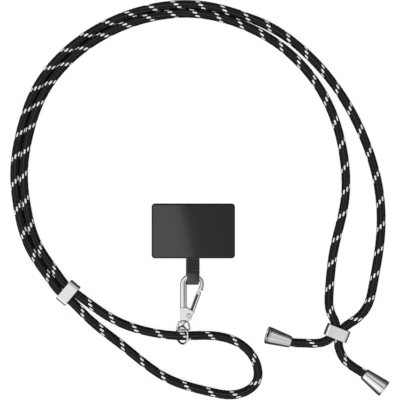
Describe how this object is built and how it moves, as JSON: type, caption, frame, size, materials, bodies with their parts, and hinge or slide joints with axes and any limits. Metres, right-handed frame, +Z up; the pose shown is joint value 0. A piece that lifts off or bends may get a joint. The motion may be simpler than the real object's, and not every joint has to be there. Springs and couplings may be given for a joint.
{
  "type": "phone crossbody strap",
  "caption": "Round cord laid in a wide body loop and a small loop with a snap hook that carries a flat tether patch for a phone case, with metal sliders and bell ends.",
  "frame": {"origin": "on the surface that the strap lies on, under the middle of the box of its metal pieces and patch", "axes": "+Z up from that surface, +Y from the small loop towards the far side of the body loop, +X towards the bell ends"},
  "size_m": [0.2449, 0.2563, 0.0113],
  "materials": {
    "black_cord": "matt round braid, black with a winding row of white dashes",
    "satin_silver": "satin plated metal with bright edges",
    "polished_silver": "polished plated metal",
    "dark_coated_sheet": "dark grey coated sheet with a soft sheen"
  },
  "bodies": {
    "strap": {"cord": "black_cord", "slider_right": "satin_silver", "slider_left": "satin_silver", "end_cap_left": "polished_silver", "end_cap_right": "polished_silver", "cord_ring": "polished_silver", "swivel_eye": "polished_silver"},
    "hook": {"hook_frame": "polished_silver", "gate_rivet": "polished_silver", "tether_patch": "dark_coated_sheet"},
    "gate": {"gate": "polished_silver"}
  },
  "joints": [
    {"name": "swivel", "type": "hinge", "parent": "strap", "child": "hook", "pos_m": [-0.0256, -0.0133, 0.0033], "axis": [0, 1, 0], "continuous": true},
    {"name": "gate_hinge", "type": "hinge", "parent": "hook", "child": "gate", "pos_m": [-0.0221, -0.0102, 0.0033], "axis": [0, 0, 1], "range_deg": [0, 20], "stiffness_Nm_per_rad": 0.005, "springref_deg": -11.46}
  ]
}
